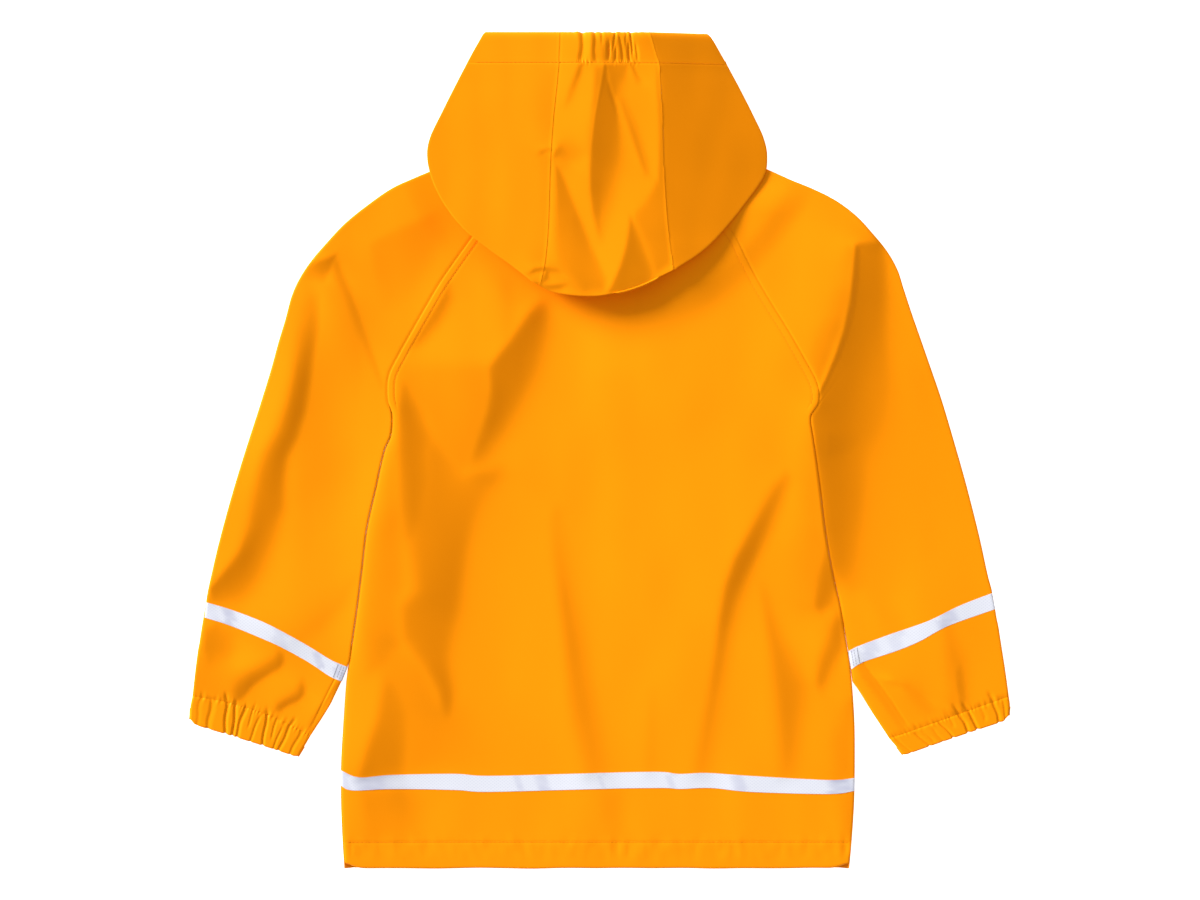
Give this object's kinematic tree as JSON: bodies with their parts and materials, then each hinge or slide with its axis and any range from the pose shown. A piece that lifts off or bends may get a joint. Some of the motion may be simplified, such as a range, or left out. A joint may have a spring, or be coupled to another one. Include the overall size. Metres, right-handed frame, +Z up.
{
  "type": "kids hooded raincoat",
  "caption": "Child's hooded rain jacket laid flat on its front, with raglan sleeves, gathered cuffs, a panelled hood and reflective tape.",
  "frame": {"origin": "on the floor, under the middle of the jacket's outline", "axes": "+Y from the hem to the hood, +X to the right of the back view, +Z up, with the jacket lying on its front"},
  "size_m": [0.6901, 0.7015, 0.025],
  "materials": {
    "coated_cloth": "polyurethane-coated cloth, soft gloss",
    "reflective_tape": "silver-white retroreflective tape, fine hatch",
    "stud_metal": "nickel-plated press stud"
  },
  "bodies": {
    "root": {"back_panel": "coated_cloth", "front_panel_left": "coated_cloth", "front_panel_right": "coated_cloth", "sleeve_left": "coated_cloth", "sleeve_right": "coated_cloth", "cuff_left": "coated_cloth", "cuff_right": "coated_cloth", "hood_centre": "coated_cloth", "hood_side_left": "coated_cloth", "hood_side_right": "coated_cloth", "hood_casing": "coated_cloth", "stripe_back": "reflective_tape", "stripe_front_left": "reflective_tape", "stripe_front_right": "reflective_tape", "stripe_sleeve_left": "reflective_tape", "stripe_sleeve_right": "reflective_tape", "press_stud_1": "stud_metal", "press_stud_2": "stud_metal", "press_stud_3": "stud_metal", "press_stud_4": "stud_metal", "press_stud_5": "stud_metal"}
  },
  "joints": []
}
